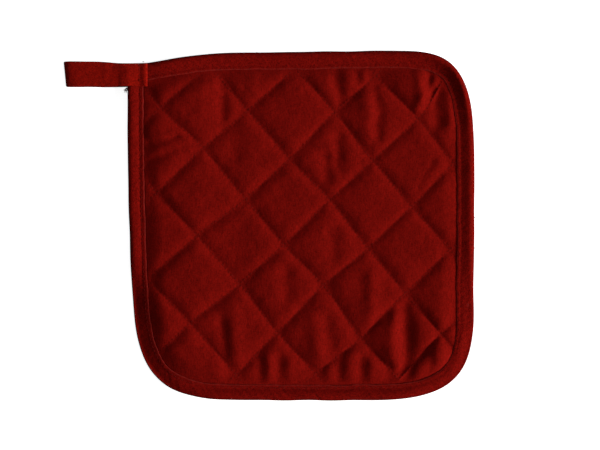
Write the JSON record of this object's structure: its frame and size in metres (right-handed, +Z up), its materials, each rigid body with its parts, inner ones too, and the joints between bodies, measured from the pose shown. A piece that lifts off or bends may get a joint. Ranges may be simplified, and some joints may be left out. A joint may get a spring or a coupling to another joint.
{
  "type": "pot holder",
  "caption": "Square quilted cotton pot holder with rounded corners, a folded tape binding round its edge and a hanging loop of doubled tape over one corner, lying flat.",
  "frame": {"origin": "middle of the whole outline seen from above, loop included, at the height of the surface that it lies on", "axes": "+X to the right along the top edge, away from the loop; +Y towards the top edge; +Z up out of the quilted face"},
  "size_m": [0.2368, 0.202, 0.0078],
  "materials": {
    "pad_cloth": "matt dark red plain-weave cotton, quilted",
    "binding_tape": "matt dark red cotton twill tape",
    "loop_tape": "matt dark red cotton twill tape"
  },
  "bodies": {
    "root": {"quilted_pad": "pad_cloth", "edge_binding": "binding_tape", "hanging_loop": "loop_tape"}
  },
  "joints": []
}
